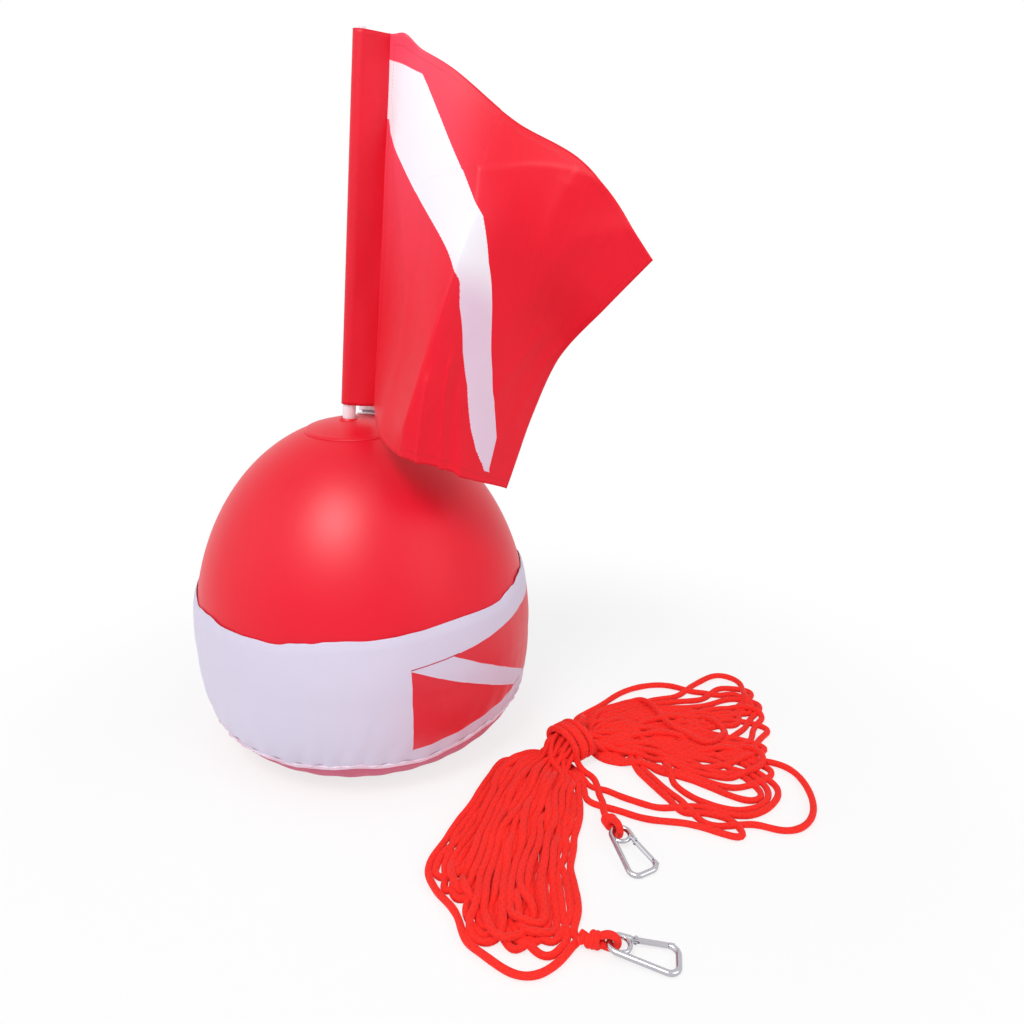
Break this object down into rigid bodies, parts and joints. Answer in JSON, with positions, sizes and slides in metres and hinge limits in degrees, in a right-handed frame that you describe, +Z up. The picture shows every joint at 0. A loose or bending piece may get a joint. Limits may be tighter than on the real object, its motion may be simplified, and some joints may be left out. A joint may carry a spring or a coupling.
{
  "type": "dive flag float",
  "caption": "Inflated ball float in a gathered cloth cover with a flag on a leaning pole, a valve, a tow ring, and a hanked line with a gated clip at each end.",
  "frame": {"origin": "on the floor under the middle of the ball", "axes": "+Z up, +X the way the flag streams and the pole leans, -Y the front, where the cover carries its print"},
  "size_m": [0.5975, 0.5556, 0.6846],
  "materials": {
    "red_vinyl": "smooth welded vinyl, soft shine",
    "red_cloth": "coated nylon cloth, satin",
    "white_cloth": "coated nylon cloth, satin",
    "white_plastic": "moulded, semi-gloss",
    "white_webbing": "woven webbing, matt",
    "seal_rubber": "matt",
    "ballast_iron": "as cast, painted",
    "orange_red_rope": "braided cord, matt",
    "stainless_steel": "polished stainless steel"
  },
  "bodies": {
    "float": {"bladder": "red_vinyl", "pole_socket": "red_vinyl", "valve_seat": "white_plastic", "valve_seal": "seal_rubber", "cover_band": "white_cloth", "cover_elastic": "white_cloth", "cover_hem": "white_cloth", "cover_base": "red_cloth", "ballast_plate": "ballast_iron", "tow_tab": "white_webbing"},
    "tow_ring": {"tow_ring": "stainless_steel"},
    "valve_cap": {"valve_cap": "white_plastic"},
    "flagpole": {"pole_tube": "white_plastic", "pole_foot_plug": "white_plastic", "pole_top_cap": "white_plastic"},
    "flag": {"flag_sleeve": "red_cloth", "flag_cloth": "red_cloth"},
    "line": {"line_hank": "orange_red_rope", "line_tie": "orange_red_rope", "line_end_a": "orange_red_rope", "line_end_b": "orange_red_rope", "line_tail_b": "orange_red_rope", "knot_a": "orange_red_rope", "knot_b": "orange_red_rope"},
    "clip_a": {"clip_a_frame": "stainless_steel", "clip_a_rivet": "stainless_steel"},
    "gate_a": {"clip_a_gate": "stainless_steel"},
    "clip_b": {"clip_b_frame": "stainless_steel", "clip_b_rivet": "stainless_steel"},
    "gate_b": {"clip_b_gate": "stainless_steel"}
  },
  "joints": [
    {"name": "pole_lift", "type": "slide", "parent": "float", "child": "flagpole", "axis": [0.0941, 0, 0.9956], "range_m": [0, 0.09]},
    {"name": "flag_turn", "type": "hinge", "parent": "flagpole", "child": "flag", "pos_m": [-0.0052, 0, 0.338], "axis": [0.0941, 0, 0.9956], "continuous": true},
    {"name": "valve_cap_lift", "type": "slide", "parent": "float", "child": "valve_cap", "axis": [0.0993, 0.3056, 0.947], "range_m": [0, 0.012]},
    {"name": "tow_ring_swing", "type": "hinge", "parent": "float", "child": "tow_ring", "pos_m": [0, 0.18059, 0.07484], "axis": [1, 0, 0], "range_deg": [-5, 115]},
    {"name": "line_lift", "type": "slide", "parent": "float", "child": "line", "axis": [0.6753, -0.2107, 0.7068], "range_m": [0, 0.15]},
    {"name": "clip_a_swing", "type": "hinge", "parent": "line", "child": "clip_a", "pos_m": [0.25466, -0.21495, 0.00859], "axis": [0.0473, -0.1172, 0.992], "range_deg": [-45, 45]},
    {"name": "clip_a_gate", "type": "hinge", "parent": "clip_a", "child": "gate_a", "pos_m": [0.26654, -0.22215, 0.00717], "axis": [-0.0473, 0.1172, -0.992], "range_deg": [0, 28], "stiffness_Nm_per_rad": 0.01, "springref_deg": -22.92},
    {"name": "clip_b_swing", "type": "hinge", "parent": "line", "child": "clip_b", "pos_m": [0.23974, -0.33879, 0.00859], "axis": [0.1221, -0.0327, 0.992], "range_deg": [-45, 45]},
    {"name": "clip_b_gate", "type": "hinge", "parent": "clip_b", "child": "gate_b", "pos_m": [0.25264, -0.33363, 0.00717], "axis": [-0.1221, 0.0327, -0.992], "range_deg": [0, 28], "stiffness_Nm_per_rad": 0.01, "springref_deg": -22.92}
  ]
}
